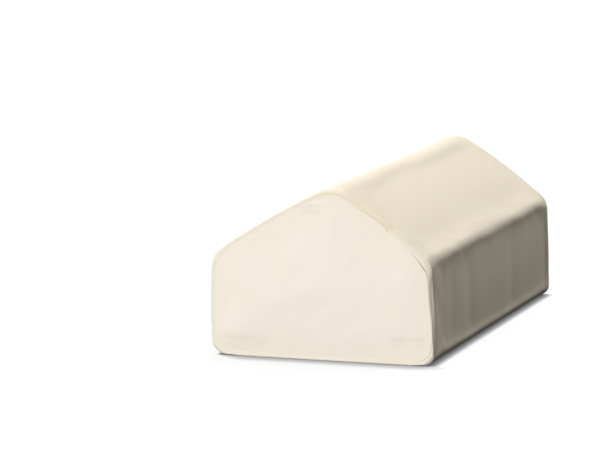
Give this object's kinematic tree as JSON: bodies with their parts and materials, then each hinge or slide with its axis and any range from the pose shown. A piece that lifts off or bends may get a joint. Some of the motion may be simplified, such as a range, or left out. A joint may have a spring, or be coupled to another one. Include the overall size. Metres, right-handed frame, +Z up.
{
  "type": "knee elevation pillow",
  "caption": "House-shaped filled cushion in a sewn cotton cover: two slopes carry thighs and calves, the ridge fits behind bent knees.",
  "frame": {"origin": "middle of the flat base", "axes": "+X across, from the thigh slope to the calf slope; +Y along the ridge, away from the end that faces the viewer; +Z up"},
  "size_m": [0.2538, 0.508, 0.1862],
  "materials": {
    "wrap_cotton": "cream cotton, plain weave, matt",
    "end_cotton": "cream cotton, plain weave, matt"
  },
  "bodies": {
    "root": {"filled_cushion": "wrap_cotton", "front_end_panel": "end_cotton", "back_end_panel": "end_cotton"}
  },
  "joints": []
}
